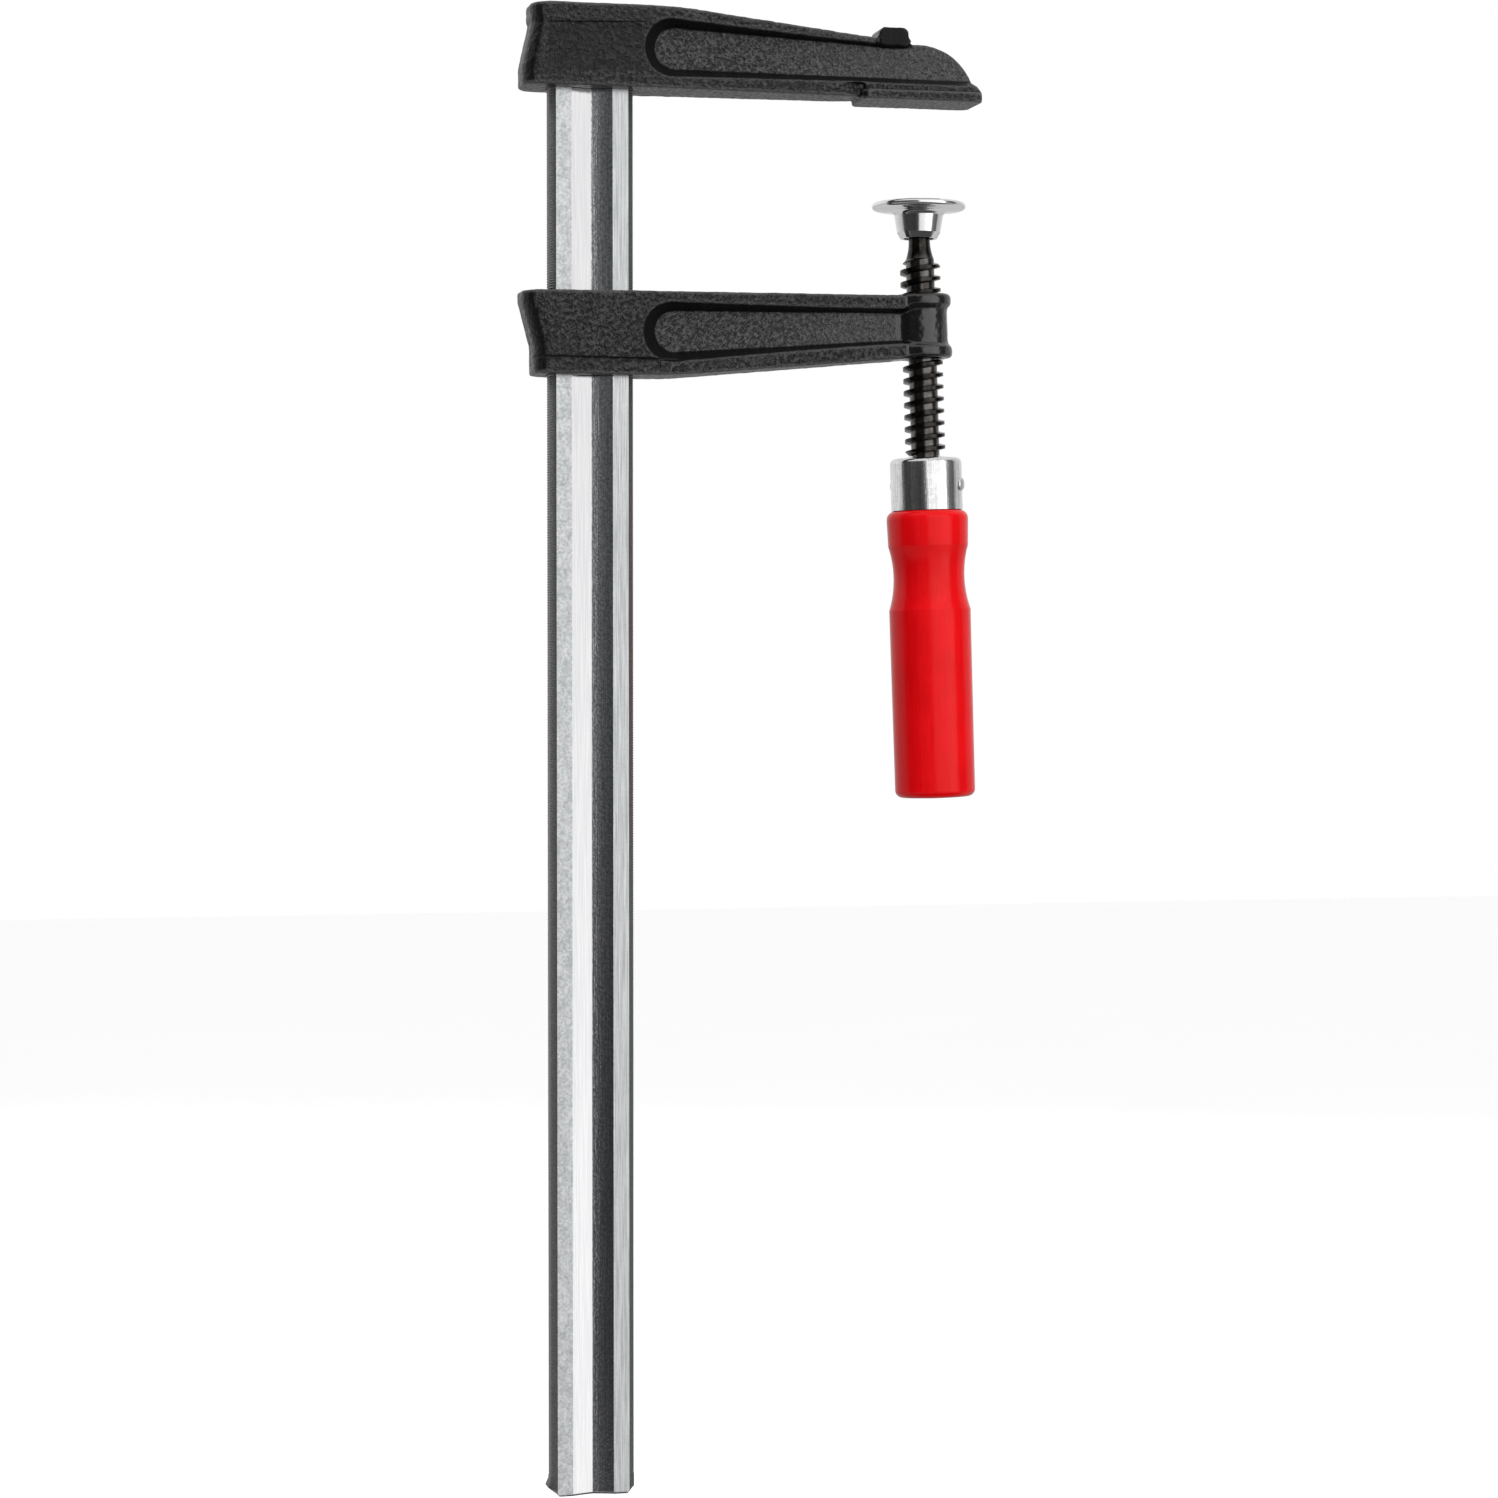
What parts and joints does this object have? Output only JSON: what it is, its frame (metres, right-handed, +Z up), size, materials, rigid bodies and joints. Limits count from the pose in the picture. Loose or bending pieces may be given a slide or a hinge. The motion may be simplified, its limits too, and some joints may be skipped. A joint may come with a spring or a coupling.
{
  "type": "f clamp",
  "caption": "Cast-iron F clamp with a grooved steel rail, fixed and sliding arms, a screw spindle with swivel pad, and a turned wooden handle.",
  "frame": {"origin": "centre of the fixed jaw's clamping face, on the clamping axis", "axes": "+Z up along the rail towards the fixed arm, +X from the rail towards the jaw tips, +Y across the clamp"},
  "size_m": [0.1927, 0.039, 0.6065],
  "materials": {
    "rail_steel": "drawn, zinc plated, satin",
    "black_casting": "rough casting under semi-gloss black paint",
    "black_steel": "black oxide, lightly oiled",
    "zinc_steel": "bright zinc plating",
    "lacquered_wood": "smooth opaque red lacquer"
  },
  "bodies": {
    "frame": {"rail": "rail_steel", "fixed_arm": "black_casting"},
    "sliding_arm": {"sliding_arm": "black_casting"},
    "screw_carrier": {"retaining_ring": "zinc_steel"},
    "screw": {"spindle": "black_steel", "ferrule": "zinc_steel", "cross_pin": "zinc_steel", "handle": "lacquered_wood"},
    "swivel_pad": {"pressure_plate": "zinc_steel"}
  },
  "joints": [
    {"name": "arm_slide", "type": "slide", "parent": "frame", "child": "sliding_arm", "axis": [0, 0, 1], "range_m": [-0.45, 0]},
    {"name": "screw_travel", "type": "slide", "parent": "sliding_arm", "child": "screw_carrier", "axis": [-0.0314, 0, 0.9995], "range_m": [-0.0145, 0.036]},
    {"name": "spindle_spin", "type": "hinge", "parent": "screw_carrier", "child": "screw", "pos_m": [0, 0, 0], "axis": [-0.0314, 0, 0.9995], "range_deg": [-1044, 2592]},
    {"name": "pad_tilt", "type": "hinge", "parent": "screw_carrier", "child": "swivel_pad", "pos_m": [0.00151, 0, -0.04788], "axis": [0, 1, 0], "range_deg": [-11, 8]}
  ],
  "couplings": [
    {"joint": "screw_travel", "follows": "spindle_spin", "m_per_rad": 0.00079577}
  ]
}
